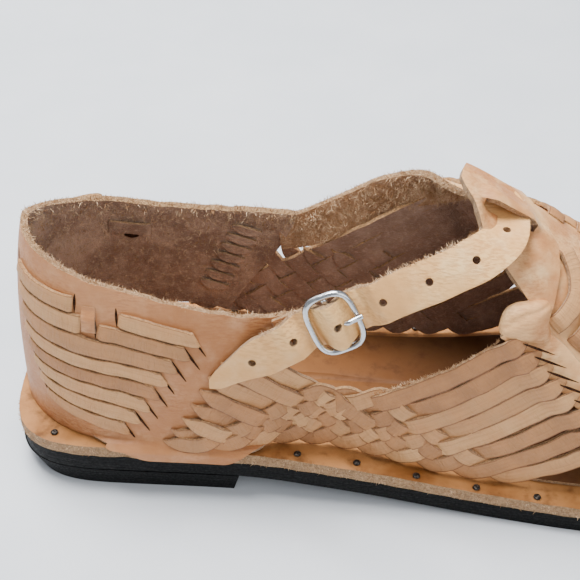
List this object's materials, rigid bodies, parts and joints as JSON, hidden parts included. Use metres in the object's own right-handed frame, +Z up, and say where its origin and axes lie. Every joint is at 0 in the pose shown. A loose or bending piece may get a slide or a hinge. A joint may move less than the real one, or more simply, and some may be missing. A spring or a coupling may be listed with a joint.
{
  "type": "huarache sandal",
  "caption": "Right huarache sandal: woven leather upper with closed toe and heel, buckled ankle strap, nailed leather sole on black rubber",
  "frame": {"origin": "on the floor under the middle of the sole's box", "axes": "+X heel to toe, +Y the inner (medial) side, +Z up; the outer side with the buckle is -Y"},
  "size_m": [0.288, 0.1, 0.1109],
  "materials": {
    "upper_leather": "vegetable tanned, grain out, flesh side in",
    "strap_leather": "pale natural grain",
    "sole_leather": "smooth top, raw pale edge",
    "insole_leather": "matt, smooth",
    "rubber_black": "matt, cut edge",
    "nickel": "bright nickel plated wire",
    "iron_nail": "dark hammered nail heads"
  },
  "bodies": {
    "root": {"ankle_strap": "strap_leather", "buckle_chape": "upper_leather", "buckle_frame": "nickel", "buckle_prong": "nickel", "heel_block": "rubber_black", "insole": "insole_leather", "leather_sole": "sole_leather", "nail_01": "iron_nail", "nail_02": "iron_nail", "nail_03": "iron_nail", "nail_04": "iron_nail", "nail_05": "iron_nail", "nail_06": "iron_nail", "nail_07": "iron_nail", "nail_08": "iron_nail", "nail_09": "iron_nail", "nail_10": "iron_nail", "nail_11": "iron_nail", "nail_12": "iron_nail", "nail_13": "iron_nail", "nail_14": "iron_nail", "nail_15": "iron_nail", "nail_16": "iron_nail", "nail_17": "iron_nail", "nail_18": "iron_nail", "nail_19": "iron_nail", "outsole": "rubber_black", "upper": "upper_leather"}
  },
  "joints": []
}
